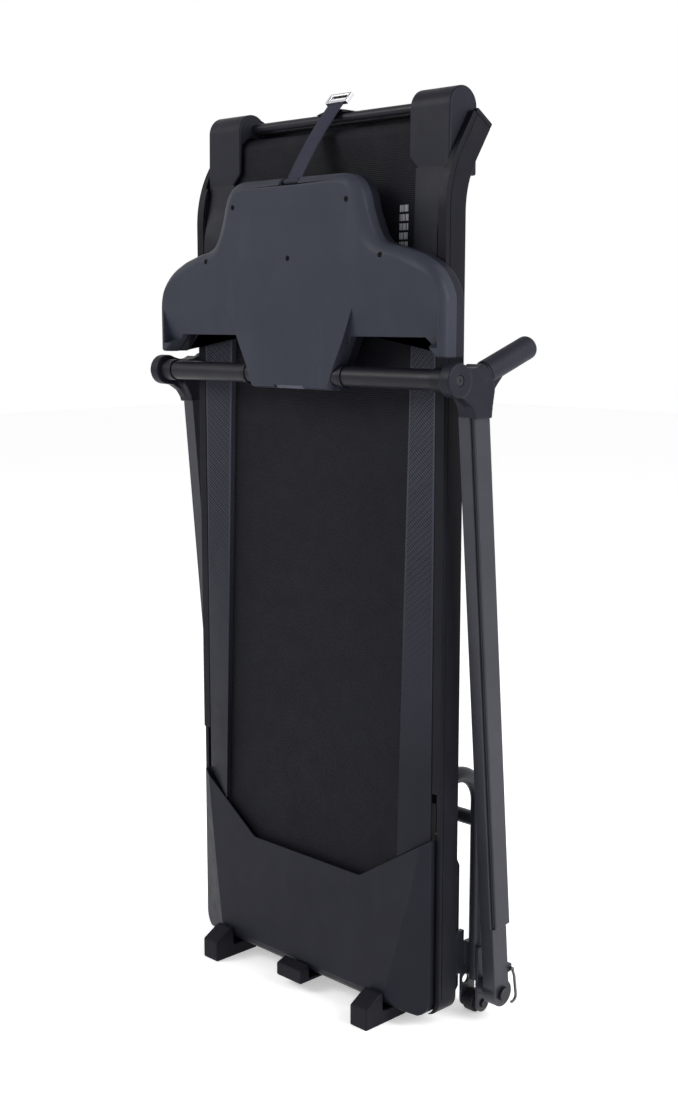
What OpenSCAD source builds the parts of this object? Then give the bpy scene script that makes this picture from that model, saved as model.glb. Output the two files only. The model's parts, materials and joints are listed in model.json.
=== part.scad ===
// Folding treadmill, stored upright on its motor end.
// X is the width, -Y the running side, +Z points along the deck to its rear end.

/* [Overall] */
// Overall width over the two grips
overall_w = 760; // [740:1:780]
// Overall depth, front feet to grip ends
overall_d = 250; // [246:1:256]
// Overall height to the top of the strap
overall_h = 1620; // [1610:1:1630]

/* [Deck] */
// Backward lean of the running surface
belt_lean = 1.72; // [1.5:0.02:1.9]
// Running surface where it would meet the floor plane
belt_y = -55.5; // [-57:0.5:-54]
// Half width of the running belt
belt_half = 224; // [218:1:225]
// Outer radius of the belt over its rollers
belt_r = 22; // [21:0.5:23]
// Height of the front roller's axis along the deck
front_w = 205; // [195:1:215]
// Height of the rear roller's axis along the deck
rear_w = 1533; // [1520:1:1536]
// Half distance between the foot rails
rail_in = 227.6; // [227:0.1:230]
// Outer half width of the foot rails
rail_out = 293; // [291:0.5:293.5]
// How far the foot rails stand proud of the belt
rail_proud = 10; // [8:0.5:12]
// Outer half width over the side skirts
skirt_out = 313; // [310:0.5:316]

/* [Mast] */
// Forward lean of the folded uprights
mast_lean = 4.88; // [4.5:0.02:5]
// Inner half distance between the uprights
mast_in = 339; // [337:0.5:341]
// Outer half distance over the upright covers
mast_out = 372; // [371:0.5:374]
// Height of the mast pivot
pivot_z = 56; // [54:1:58]
// Depth position of the mast pivot
pivot_y = 70.5; // [69:0.5:72]
// Height of the cross tube
tube_z = 1133; // [1130:1:1136]
// Depth position of the cross tube
tube_y = -79; // [-80:0.5:-78]
// Radius of the cross tube
tube_r = 17.5; // [17:0.1:17.6]
// Radius of the hand grips
grip_r = 20; // [18:0.5:21]
// Rise angle of the grips
grip_tilt = 20; // [18:0.2:22]

/* [Console] */
// Depth position of the console's outer face
console_y = -98; // [-98.5:0.5:-97.5]
// Wall thickness of the moulded shells
wall = 3; // [2.5:0.1:3.5]
// Width of the strap
strap_w = 36; // [30:1:40]

/* [Hidden] */
$fn = 64;
charcoal = [0.12, 0.13, 0.15];
slate = [0.22, 0.24, 0.27];
black = [0.05, 0.05, 0.06];
steel = [0.62, 0.64, 0.67];
gap = 0.4;
// Running clearance of a shaft in its bore
run = 0.08;
// The belt frame: origin where the running surface meets the floor plane
belt_t = 1.8;
roller_r = belt_r - belt_t - gap;
axle_r = 6;
board_v = belt_t + 0.8;
board_t = 15;
bearing_r = 14;
bolt_x = 258.5;
bolt_r = 3;
member_in = 245;
member_out = 272;
skirt_in = 303.5;
foot_front = -overall_d / 2;
// Motor bay
motor_y = 12;
motor_z = 108;
motor_r = 44;
pulley_x = -242;
pulley_w = 13;
big_pulley_r = 32;
small_pulley_r = 13;
bay_half = 300;
bay_bottom = 25;
corner_r = 30;
pan_half = 271.5;
// Rear end
cap_in = 212;
cap_out = 300;
cap_front = -19.5;
cap_r = 33;
cap_y = cap_front + cap_r;
cap_z = 1567;
cap_low = 1474;
bar_y = 32;
bar_z = 1574;
tail_start = 1400;
tail_angle = 33;
tail_out = 200;
tail_in = 155;
tail_end = 60;
skirt_front = -38;
// Base
base_x = 297;
base_y = 80;
base_r = 14;
wheel_y = 75;
wheel_r = 20;
// Upright section, measured from the pivot
up_front = -20.5;
up_back = 21.5;
up_top = 1022;
// Strap slot and clasp
slot_half = 24;
strap_t = 2.5;

// Frames -------------------------------------------------------------------

// Belt frame: y = 0 is the running surface, z runs along the deck
module in_belt() translate([0, belt_y, 0]) rotate([-belt_lean, 0, 0]) children();
// Mast frame: origin at the pivot, z runs up the uprights
module in_mast() translate([0, pivot_y, pivot_z]) rotate([mast_lean, 0, 0]) children();
// A cylinder along X from x0 to x1
module rod(x0, x1, r) translate([x0, 0, 0]) rotate([0, 90, 0]) cylinder(h = x1 - x0, r = r);
// A box from low corner a to high corner b
module box(a, b) translate(a) cube(b - a);
// A profile drawn in Y and Z, extruded along X from x0 to x1
module along_x(x0, x1) translate([x0, 0, 0]) rotate([90, 0, 90]) linear_extrude(x1 - x0) children();
// A profile drawn in X and Z, extruded along Y from y0 to y1
module along_y(y0, y1) translate([0, y1, 0]) rotate([90, 0, 0]) linear_extrude(y1 - y0) children();
// Height-dependent front surface of the foot rails
function rail_y(z) = belt_y - rail_proud + tan(belt_lean) * z;
// Points of a rounded corner with centre c and radius r, from angle a0 to a1
arc_steps = 8;
function arc(c, r, a0, a1) = [for (i = [0 : arc_steps]) let (a = a0 + (a1 - a0) * i / arc_steps)
    c + r * [cos(a), sin(a)]];
// The mirror image of a half outline, in reverse order
function flip(points) = [for (i = [len(points) - 1 : -1 : 0]) [-points[i][0], points[i][1]]];
module both() {
    children();
    mirror([1, 0, 0]) children();
}

// Deck ---------------------------------------------------------------------

module loop_profile(r) {
    translate([belt_r, front_w]) circle(r);
    translate([belt_r, rear_w]) circle(r);
    translate([belt_r - r, front_w]) square([2 * r, rear_w - front_w]);
}

module running_belt() color(black) in_belt() along_x(-belt_half, belt_half) difference() {
    loop_profile(belt_r);
    loop_profile(belt_r - belt_t);
}

module deck_board() color("tan") in_belt()
    box([-235, board_v, 250], [235, board_v + board_t, 1494]);

member_w = [420, 780, 1140];
cushion_t = 3;
member_v = board_v + board_t + cushion_t;
module deck_cushions() color(black) in_belt() for (s = [-1, 1], w = member_w)
    translate([s * 205, board_v + board_t, w]) rotate([-90, 0, 0]) cylinder(h = cushion_t, r = 14);

module side_member() difference() {
    box([member_in, 8, 48], [member_out, 41, 1556]);
    box([member_in + 2.5, 10.5, 60], [member_out - 2.5, 38.5, 1490]);
    translate([bolt_x, belt_r, 1500]) cylinder(h = 60, r = bolt_r + 0.1);
}
module deck_frame() color(slate) in_belt() difference() {
    union() {
        both() {
            side_member();
            for (w = member_w) box([member_out, 16, w - 12], [skirt_in, 28, w + 12]);
        }
        for (w = member_w) difference() {
            box([-member_in, member_v, w - 16], [member_in, 39.5, w + 16]);
            box([-member_in - 1, member_v + 2, w - 14], [member_in + 1, 37.5, w + 14]);
        }
        difference() {
            box([-member_in, 8, 30], [member_in, 41, 54]);
            box([-member_in - 1, 10, 32], [member_in + 1, 39, 52]);
        }
    }
    for (w = [front_w, rear_w]) translate([0, belt_r, w]) rod(-300, 300, axle_r + run);
}

module roller(w) in_belt() translate([0, belt_r, w]) difference() {
    rod(-222, 222, roller_r);
    rod(-223, 223, axle_r + 1);
    rod(-200, 200, roller_r - 3);
    both() rod(209, 223, bearing_r + run);
}
module front_roller() color(steel) roller(front_w);
module rear_roller() color(steel) roller(rear_w);
module roller_bearings() color(steel) in_belt() for (w = [front_w, rear_w])
    translate([0, belt_r, w]) both() difference() {
        rod(209.5, 220.5, bearing_r);
        rod(209, 221, axle_r + run);
    }
module roller_axles() color(steel) in_belt() for (w = [front_w, rear_w])
    translate([0, belt_r, w]) difference() {
        rod(-member_out - 8, member_out + 8, axle_r);
        if (w == rear_w) both() translate([bolt_x, 0, -20]) cylinder(h = 40, r = bolt_r + 0.1);
    }

module tension_bolts() color(steel) in_belt() both() translate([bolt_x, belt_r, 0]) {
    translate([0, 0, 1522]) cylinder(h = 35, r = bolt_r);
    translate([0, 0, 1556]) cylinder(h = 5, r = 6.5, $fn = 6);
}

// Drive --------------------------------------------------------------------

module roller_pulley() color(black) in_belt() translate([0, belt_r, front_w]) difference() {
    union() {
        rod(pulley_x, pulley_x + pulley_w, big_pulley_r);
        rod(pulley_x + pulley_w, -222, 18);
    }
    rod(pulley_x - 1, -221, axle_r + 1);
}

module motor_housing() color(black) translate([0, motor_y, motor_z]) {
    difference() {
        rod(-212, -66, motor_r);
        rod(-213, -65, 8);
    }
    difference() {
        box([-190, -34, -53.5], [-90, 6, -30]);
        rod(-191, -89, motor_r - 1);
    }
}

module motor_rotor() color(steel) translate([0, motor_y, motor_z]) {
    rod(pulley_x - 2, -44, 6);
    rod(-62, -46, 38);
}

module motor_pulley() color(steel) translate([0, motor_y, motor_z]) difference() {
    rod(pulley_x, pulley_x + pulley_w, small_pulley_r);
    rod(pulley_x - 1, pulley_x + pulley_w + 1, 6 + 0.02);
}

// Front roller's axis in the part frame
roller_y = belt_y + belt_r * cos(belt_lean) + front_w * sin(belt_lean);
roller_z = front_w * cos(belt_lean) - belt_r * sin(belt_lean);
module drive_loop(extra) hull() {
    translate([roller_y, roller_z]) circle(big_pulley_r + extra);
    translate([motor_y, motor_z]) circle(small_pulley_r + extra);
}
module drive_belt() color(black) along_x(pulley_x + 1.5, pulley_x + pulley_w - 1.5) difference() {
    drive_loop(gap + 2);
    drive_loop(gap);
}

module control_board() color("darkgreen") {
    box([40, -34, 62], [210, -31, 170]);
    color(steel) for (x = [50 : 12 : 110]) box([x, -31, 70], [x + 3, 8, 150]);
    box([130, -31, 80], [165, 4, 115]);
    box([170, -31, 80], [195, -8, 150]);
}

// Motor bay covers ------------------------------------------------------------

cover_top = 353;
// Front surface of the cover in its side view
function cover_y(z) = -55 - 24.5 * pow((cover_top - z) / 311, 1.15);
// Side section of the cover, shrunk by d
module cover_side(d) polygon(concat([[-5, bay_bottom + d], [-52, bay_bottom + d],
    [-64 + d / 2, 29 + d], [-73 + d, 38 + d / 2]], [for (z = [50 : 30.3 : 353]) [cover_y(z) + d, z]],
    [[-5, cover_top]]));
// Front outline with round lower corners, shrunk by d
function face_half(d) = concat(arc([bay_half - corner_r, bay_bottom + corner_r], corner_r - d,
    -90, 0), [[bay_half - d, cover_top + 10]]);
module cover_face(d) polygon(concat(face_half(d), flip(face_half(d))));
// Flat facets that narrow the face towards its lower corners
facet_y = -49.5;
facet_angle = 19.8;
module cover_body(d) difference() {
    intersection() {
        along_x(-bay_half + d, bay_half - d) cover_side(d);
        along_y(-90, 0) cover_face(d);
    }
    both() translate([bay_half, facet_y + d, 0]) rotate([0, 0, facet_angle])
        box([-170, -60, 0], [40, 0, 400]);
}
module motor_cover() color(charcoal) difference() {
    cover_body(0);
    cover_body(wall);
    // Slanted top edge
    along_y(-90, 0) polygon([[-320, 354], [-302, 350], [-141, 248], [141, 248], [302, 350],
        [320, 354], [320, 380], [-320, 380]]);
}

module pan_side(d) polygon([[-3, bay_bottom + d], [48, bay_bottom + d], [62 - d, 42 + d],
    [62 - d, 270], [30 - d, 330], [-3, 342 - d]]);
module belly_pan() color(charcoal) difference() {
    along_x(-pan_half, pan_half) pan_side(0);
    along_x(-pan_half + wall, pan_half - wall) pan_side(wall);
    box([-pan_half - 1, -6, bay_bottom - 1], [pan_half + 1, -0.5, 350]);
    // Cut-outs for the inlet and the switch
    box([154, 50, 96], [206, 70, 130]);
    box([104, 50, 97], [136, 70, 129]);
    // Ventilation slots behind the motor
    for (x = [-204 : 22 : -60]) box([x, 50, 70], [x + 8, 70, 150]);
}

module power_inlet() color(black) difference() {
    union() {
        box([154.5, 40, 96.5], [205.5, 62, 129.5]);
        box([152, 62, 94], [208, 64.2, 132]);
    }
    box([165, 46, 102], [195, 65, 124]);
}

switch_at = [120, 57, 113];
module switch_housing() color(black) translate(switch_at) difference() {
    union() {
        box([-15.5, -17, -15.5], [15.5, 5, 15.5]);
        box([-18, 5, -18], [18, 7, 18]);
    }
    box([-11.5, -9, -13.5], [11.5, 8, 13.5]);
    rod(-13.6, 13.6, 1.5 + run);
}
module power_switch() color("darkred") translate(switch_at) {
    rod(-13, 13, 1.5);
    along_x(-11, 11) polygon([[-5, -8], [4, -12], [5, -12], [7, 0], [9, 12], [4, 12], [-5, 8]]);
}

// Rails, skirts, rear end --------------------------------------------------------

// The tread's lower end follows the slanted edge of the motor cover
function rail_low(x) = 249 + 0.6335 * (x - 141);
rail_bend = 1360;
rail_top = 1473;
rail_rows = 5;
bend_rows = 9;
rail_t = 4;
lip_w = 3.5;
lip_d = 11.5;
function smooth(t) = t * t * (3 - 2 * t);
function rail_outer_y(z) = -41 + 20 * smooth(max(0, z - rail_bend) / (rail_top - rail_bend));
// Section points: how far outwards (0 to 1), and how far behind the tread's surface
rail_section = [[0, 0], [1, 0], [1, rail_t], [lip_w / (rail_out - rail_in), rail_t],
    [lip_w / (rail_out - rail_in), lip_d], [0, lip_d]];
function rail_point(u, z) = let (x = rail_in + u[0] * (rail_out - rail_in))
    [x, rail_y(z) + u[0] * (rail_outer_y(z) - rail_y(z)) + u[1], z];
function row_z(k, u) = k > rail_rows ? rail_bend + (rail_top - rail_bend) * (k - rail_rows) / bend_rows :
    let (low = rail_low(rail_in + u[0] * (rail_out - rail_in)))
    low + (rail_bend - low) * k / rail_rows;
last_row = rail_rows + bend_rows;
rail_n = len(rail_section);
rail_points = [for (k = [0 : last_row], u = rail_section) rail_point(u, row_z(k, u))];
rail_faces = concat([[for (i = [0 : rail_n - 1]) i]],
    [[for (i = [rail_n - 1 : -1 : 0]) last_row * rail_n + i]],
    [for (k = [0 : last_row - 1], i = [0 : rail_n - 1]) let (a = k * rail_n, b = (i + 1) % rail_n)
        [a + i, a + rail_n + i, a + rail_n + b]],
    [for (k = [0 : last_row - 1], i = [0 : rail_n - 1]) let (a = k * rail_n, b = (i + 1) % rail_n)
        [a + i, a + rail_n + b, a + b]]);
// Sloped tread, twisting from proud to sunk at its inner edge, with a lip beside the belt
module foot_rail() polyhedron(rail_points, rail_faces);
module foot_rail_right() color(charcoal) foot_rail();
module foot_rail_left() color(charcoal) mirror([1, 0, 0]) foot_rail();

// Skirt: a bent side band, a front strip above the step, and a rounded lower end
step_z = 430;
strip_x = rail_out + 1.5;
tail_c = [skirt_front + tail_out, tail_start];
module tail_arc(a) translate([0, tail_c[0], tail_c[1]]) rotate([-a, 0, 0]) children();
// Line in Y and Z at radius r from the bend's centre, from height z0 to the tail's end
tail_steps = 12;
function tail_point(r, a) = tail_c + r * [-cos(a), sin(a)];
function skirt_line(r, z0) = concat([[tail_c[0] - r, z0]],
    [for (i = [0 : tail_steps]) tail_point(r, tail_angle * i / tail_steps)],
    [tail_point(r, tail_angle) + tail_end * [sin(tail_angle), cos(tail_angle)]]);
function reversed(p) = [for (i = [len(p) - 1 : -1 : 0]) p[i]];
module skirt_slab(r0, r1, z0) polygon(concat(skirt_line(r1, z0), reversed(skirt_line(r0, z0))));
// Outline of the side band in X and Z, ending in a tapered curl under the motor bay
skirt_low = bay_bottom + corner_r + 1;
curl = 82;
module skirt_face() polygon(concat(arc([skirt_out - corner_r, skirt_low], corner_r, -curl, 0),
    [[skirt_out, 1700], [skirt_in, 1700]],
    arc([bay_half - corner_r, skirt_low], corner_r + 3.5, 0, -60)));
strip_d = 3;
module side_skirt() difference() {
    union() {
        intersection() {
            along_x(250, skirt_out) skirt_slab(tail_in, tail_out, 10);
            along_y(-60, 200) skirt_face();
        }
        // Smooth strip between the tread and the outer corner, stopping beside the end cap
        difference() {
            along_x(strip_x, skirt_out) skirt_slab(tail_out - 1.5, tail_out + strip_d, step_z);
            box([strip_x - 1, -60, cap_low - 4], [cap_out + gap, 200, 1700]);
        }
        // Recessed strip below the step
        difference() {
            along_x(strip_x, skirt_in + 1) skirt_slab(tail_out - 10.5, tail_out - 8, 357);
            box([strip_x - 1, -60, step_z + 12], [skirt_in + 2, 200, 1700]);
        }
    }
    // Reveal line along the outer face
    along_x(skirt_out - 1.2, skirt_out + 1) skirt_slab(tail_out - 8, tail_out - 6, 60);
}
module side_skirt_right() color(charcoal) side_skirt();
module side_skirt_left() color(charcoal) mirror([1, 0, 0]) side_skirt();

module rear_foot_pads() color(black) both() tail_arc(tail_angle)
    box([skirt_in - 1, -tail_out + 2, tail_end], [skirt_out + 1, -tail_in, tail_end + 9]);

module cap_side(d) {
    translate([cap_y, cap_z]) circle(cap_r - d);
    polygon([[cap_front + d, cap_z], [cap_front + d, cap_low - 1], [cap_y + cap_r - d, cap_low - 1],
        [cap_y + cap_r - d, cap_z]]);
}
module end_cap() difference() {
    along_x(cap_in, cap_out) cap_side(0);
    along_x(cap_in + wall, cap_out - wall) difference() {
        cap_side(wall);
        translate([-60, cap_z + 20]) square([140, 30]);
    }
    box([cap_in - 1, -60, cap_low - 30], [cap_out + 1, 80, cap_low]);
    // Passage of the belt through the inner wall
    in_belt() along_x(cap_in - 1, belt_half + 3) {
        translate([belt_r, rear_w]) circle(belt_r + 3);
        translate([-3, 1400]) square([2 * belt_r + 6, rear_w - 1400]);
    }
}
module end_cap_right() color(charcoal) end_cap();
module end_cap_left() color(charcoal) mirror([1, 0, 0]) end_cap();

bar_r = 9;
module bar_profile(r) {
    square([24, 2 * r], center = true);
    for (s = [-1, 1]) translate([s * 12, 0]) circle(r);
}
// Flange that closes the gap behind the rear roller
module bar_flange() box([-cap_in, bar_y + 14, bar_z - 40], [cap_in, bar_y + 18, bar_z]);
module rear_cross_bar() color(black) difference() {
    union() {
        translate([0, bar_y, bar_z]) along_x(-cap_in, cap_in) bar_profile(bar_r);
        bar_flange();
    }
    translate([0, bar_y, bar_z]) along_x(-cap_in - 1, cap_in + 1) bar_profile(bar_r - 2.5);
}

// Rounded catch plate on the bar
anchor_h = 7;
module strap_anchor() color(black) translate([0, bar_y, bar_z + bar_r]) difference() {
    translate([0, 0, anchor_h - 150]) rotate([90, 0, 0])
        cylinder(h = 36, r = 150, center = true, $fn = 128);
    box([-160, -30, -310], [160, 30, 0]);
}

module front_feet() color(charcoal) {
    both() along_x(181, 222) polygon([[foot_front, 0], [-22, 0], [-22, bay_bottom],
        [-82, bay_bottom], [-82, 58], [-92, 57], [foot_front, 38]]);
    along_x(-33, 33) polygon([[-105, 17.5], [-22, 17.5], [-22, bay_bottom], [-82, bay_bottom],
        [-82, 50], [-105, 42]]);
}

// Base and wheels ----------------------------------------------------------------

module base_side() {
    // Bent tube: leaves the deck, turns down and ends above the wheel
    difference() {
        union() {
            translate([base_x, base_y, 60]) cylinder(h = 330, r = base_r);
            translate([base_x, base_y - 60, 390]) rotate([90, 0, 90]) rotate_extrude(angle = 90)
                translate([60, 0]) circle(base_r);
            translate([base_x, 8, 450]) rotate([-90, 0, 0]) cylinder(h = base_y - 68, r = base_r);
        }
        translate([base_x, base_y, 59]) cylinder(h = 331, r = base_r - 2);
    }
    // Cheek plates that carry the wheel and the mast pivot
    difference() {
        union() {
            for (x = [[276, 281], [313, 319]]) {
                box([x[0], wheel_y - 16, wheel_r], [x[1], base_y + 16, 128]);
                translate([0, wheel_y, wheel_r]) rod(x[0], x[1], 16);
            }
            translate([0, pivot_y, pivot_z]) rod(319, mast_in - 2.6, 15);
            box([281, base_y - 12, 84], [313, base_y + 14, 128]);
        }
        translate([0, wheel_y, wheel_r]) rod(275, 320, 5 + run);
        translate([0, pivot_y, pivot_z]) rod(309, mast_in, 8 + run);
        translate([0, pivot_y, pivot_z]) rod(272, 281.5, 8 + run);
    }
    // Mounting plates back to the deck frame
    box([member_out, -24, 70], [281, wheel_y - 10, 150]);
    box([member_out, -16, 436], [base_x + 5, 10, 464]);
}
module base_frame() color(black) {
    both() base_side();
    translate([0, base_y, 355]) rod(-base_x, base_x, 13);
}

module wheel() translate([base_x, wheel_y, wheel_r]) rotate([0, 90, 0])
    rotate_extrude() polygon([[5 + run, -11], [11, -11], [12, -8], [17, -8], [17, -11],
        [wheel_r - 2, -11], [wheel_r, -9], [wheel_r, 9], [wheel_r - 2, 11], [17, 11], [17, 8],
        [12, 8], [11, 11], [5 + run, 11]]);
module wheel_right() color(black) wheel();
module wheel_left() color(black) mirror([1, 0, 0]) wheel();
// Wheel axles and mast pivot pins
module base_bolts() color(steel) both() {
    translate([0, wheel_y, wheel_r]) {
        rod(273, 322, 5);
        rod(271, 276, 8);
        rod(319, 323, 8);
    }
    translate([0, pivot_y, pivot_z]) {
        rod(310, mast_out - 2, 8);
        rod(mast_out - 2, mast_out + 2, 13);
    }
}
module pivot_bushes() color("wheat") both() translate([0, pivot_y, pivot_z]) difference() {
    union() {
        rod(mast_in - 2, mast_out - 5, 10);
        rod(mast_in - 2, mast_in, 15);
    }
    rod(mast_in - 4, mast_out, 8 + run);
}

// Mast ----------------------------------------------------------------------------

module upright() in_mast() difference() {
    union() {
        box([mast_in, up_front, 0], [mast_out - 5, up_back - 4, up_top]);
        rod(mast_in, mast_out - 5, 24);
        // Small lug that carries the wire hook
        box([mast_in + 8, 10, hook_at[1] - 7], [mast_out - 5, hook_at[0] + 6, hook_at[1] + 7]);
    }
    box([mast_in + 3, up_front + 3, 60], [mast_out - 12, up_back - 7, up_top + 1]);
    rod(mast_in - 1, mast_out, 10 + run);
    translate([0, hook_at[0], hook_at[1]]) rod(mast_in, mast_out, 2 + run);
    // Shadow groove between the front face and the side cover
    box([mast_out - 9, up_front - 1, 128], [mast_out, up_front + 7, up_top + 1]);
}
module upright_right() color(slate) upright();
module upright_left() color(slate) mirror([1, 0, 0]) upright();

module upright_cover() in_mast() difference() {
    box([mast_in + 2, up_front + 4, 128], [mast_out, up_back, up_top]);
    box([mast_in + 1, up_front - 1, 127], [mast_out - 5, up_back - 4, up_top + 1]);
}
module upright_cover_right() color(slate) upright_cover();
module upright_cover_left() color(slate) mirror([1, 0, 0]) upright_cover();

// Wire hook that hangs beside the lug, drawn as (y, z) points in the mast frame
hook_at = [22, 40];
hook_x = mast_out - 1;
hook_path = concat([hook_at, [27, 26]], arc([19.3, -12], 10, 0, -115));
// Outline of a band of width w along a path
function unit(v) = v / norm(v);
function along(p, i) = unit(p[min(i + 1, len(p) - 1)] - p[max(i - 1, 0)]);
function side(p, i, w) = p[i] + w / 2 * [-along(p, i)[1], along(p, i)[0]];
function band(p, w) = concat([for (i = [0 : len(p) - 1]) side(p, i, w)],
    [for (i = [len(p) - 1 : -1 : 0]) side(p, i, -w)]);
module release_hook() color(steel) in_mast() {
    translate([0, hook_at[0], hook_at[1]]) rod(mast_in + 10, hook_x, 2);
    along_x(hook_x - 1, hook_x + 3) {
        polygon(band(hook_path, 4));
        translate(hook_at) circle(3.5);
    }
}

// The grip axis starts inside the head and runs back and up
head_out = overall_w / 2;
grip_x = head_out - grip_r;
grip_end_y = overall_d / 2 - grip_r * sin(grip_tilt);
grip_len = 128;
module in_grip() translate([grip_x, grip_end_y, 1142 + tan(grip_tilt) * grip_end_y])
    rotate([grip_tilt - 90, 0, 0]) translate([0, 0, -grip_len]) children();

disc_r = 28;
disc_in = 358;
// Outline of the neck from the upright up to the grip, and of its outer half around the disc
neck_back = [[-44, 1140], [-38, 1151], [-18, 1158], [8, 1118], [16, 1108], [10, 1096],
    [5.8, 1080], [5.5, 1060]];
neck_front = [[-37, 1060], [-38, 1080], [-45, 1094], [-54, 1106], [-50, 1126]];
disc_front = [[-37, 1060], [-38, 1078], [-48, 1092], [-66, 1103], [-90, 1107.5], [-79, 1133],
    [-66, 1157.5], [-53, 1147]];
module head() difference() {
    union() {
        translate([0, tube_y, tube_z]) rod(disc_in, head_out, disc_r);
        along_x(mast_in + 1, mast_out + 4) polygon(concat(neck_front, neck_back));
        along_x(disc_in, mast_out + 5) polygon(concat(disc_front, neck_back));
        in_grip() translate([0, 0, -20]) cylinder(h = 20, r = grip_r - 2);
    }
    translate([0, tube_y, tube_z]) {
        rod(disc_in - 1, disc_in + 9, tube_r + 0.1);
        rod(disc_in, head_out + 1, 4.2);
        rod(head_out - 3, head_out + 1, 9);
    }
    in_mast() box([mast_in - 5, -40, up_top - 60], [head_out + 1, 60, up_top]);
}
module head_right() color(charcoal) head();
module head_left() color(charcoal) mirror([1, 0, 0]) head();

module head_screws() color(steel) both() translate([0, tube_y, tube_z]) difference() {
    union() {
        rod(disc_in + 9.1, head_out - 3, 4);
        rod(head_out - 3, head_out - 0.6, 8.5);
    }
    rod(head_out - 2, head_out, 3);
}

module grip() in_grip() cylinder(h = grip_len, r = grip_r);
module grip_right() color(charcoal) grip();
module grip_left() color(charcoal) mirror([1, 0, 0]) grip();

module cross_tube() color(black) translate([0, tube_y, tube_z]) difference() {
    rod(-disc_in - 9, disc_in + 9, tube_r);
    rod(-disc_in - 10, disc_in + 10, tube_r - 2);
}
module tube_collars() color(slate) both() translate([0, tube_y, tube_z])
    for (x = [[118, 128], [330, disc_in]]) difference() {
        rod(x[0], x[1], tube_r + 2.2);
        rod(x[0] - 1, x[1] + 1, tube_r + 0.05);
    }

// Console ---------------------------------------------------------------------------

console_half = 360;
// Right half of the outline, moved inwards by d
function half_outline(d) = [[133 - d / 2, 1468 - d], [150 - d, 1463 - d / 2], [162 - d, 1452],
    [172 - d, 1436], [179 - d, 1409], [190 - d, 1382 - d / 2], [199 - d, 1364 - d / 2],
    [207 - d, 1355 - d], [217 - d / 2, 1350 - d], [232 - d / 2, 1347.5 - d], [248, 1346 - d],
    [290 - d / 2, 1334 - d], [324 - d / 2, 1318 - d],
    [347 - d, 1296 - d / 2], [console_half - d, 1266], [console_half - d, 1168 + d],
    [341 + d, 1168 + d], [308 + d, 1200 + d], [138 - d, 1200 + d], [112 - d, 1144],
    [100 - d, 1108 + d]];
module outline(d) polygon(concat(half_outline(d), flip(half_outline(d))));
// Joint line between the shells, and the display side
seam_y = -66;
face_y = -46;
hollow_z = 1156;
// Side section of the back shell: bevelled top and lower edges
module back_side(d) polygon([[console_y + d, 1118], [console_y + 8 + d, 1108], [seam_y + 1, 1108],
    [seam_y + 1, 1468], [-84 + d, 1468], [console_y + 4 + d, 1456], [console_y + d, 1446]]);
// Faces above the two windows, slanting inwards from the bevel line
module window_slant(d) both() translate([0, console_y + d, 1247]) rotate([18, 0, 0])
    along_y(-40, 0) polygon([[157 - d, 0], [346, 0], [346, -60], [130 - d, -60]]);
// Leg of the chamfer on the outer face, and how far each cut runs past its edge
chamfer = 13;
chamfer_run = 3;
// Chamfer along the outline's edge from a to b, moved inwards by d
module edge_cut(a, b, d) translate([a[0], console_y, a[1]])
    rotate([0, -atan2(b[1] - a[1], b[0] - a[0]), 0]) rotate([45, 0, 0])
        translate([-chamfer_run - d, -40, -(chamfer + d) / sqrt(2)])
            cube([norm(b - a) + 2 * (chamfer_run + d), 80, 40]);
module edge_cuts(d) both() for (i = [1 : 11]) let (p = half_outline(0))
    edge_cut(p[i - 1], p[i], d);
module strap_opening() box([-slot_half, -93, 1450], [slot_half, seam_y + 1, 1470]);
screw_spots = [[-143, 1424], [143, 1424], [-220, 1332], [220, 1332], [0, 1332]];
module console_back() color(slate) difference() {
    intersection() {
        along_y(console_y, seam_y) outline(0);
        along_x(-console_half, console_half) back_side(0);
    }
    difference() {
        intersection() {
            along_y(console_y - 1, seam_y + 1) outline(wall);
            along_x(-console_half, console_half) back_side(wall);
            box([-console_half, -120, hollow_z], [console_half, 0, 1470]);
        }
        // Walls that hold the strap pin
        both() box([slot_half, -100, 1440], [slot_half + 4, -60, 1470]);
        for (p = screw_spots) translate([p[0], console_y, p[1]]) rotate([-90, 0, 0])
            cylinder(h = 8, r = 7);
        window_slant(wall);
        edge_cuts(wall * sqrt(2));
    }
    window_slant(0);
    edge_cuts(0);
    translate([0, tube_y, tube_z]) rod(-200, 200, tube_r + run);
    strap_opening();
    translate([0, pin_y, pin_z]) rod(-slot_half - 3, slot_half + 3, 3.02);
    for (p = screw_spots) translate([p[0], console_y, p[1]]) rotate([-90, 0, 0]) {
        translate([0, 0, -1]) cylinder(h = 4, r = 4);
        cylinder(h = 9, r = 1.5);
    }
    clamp_space(0.1);
}
module clamp_space(d) box([-36 - d, -110, 1100], [36 + d, -72, 1115.2 + d]);

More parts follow.
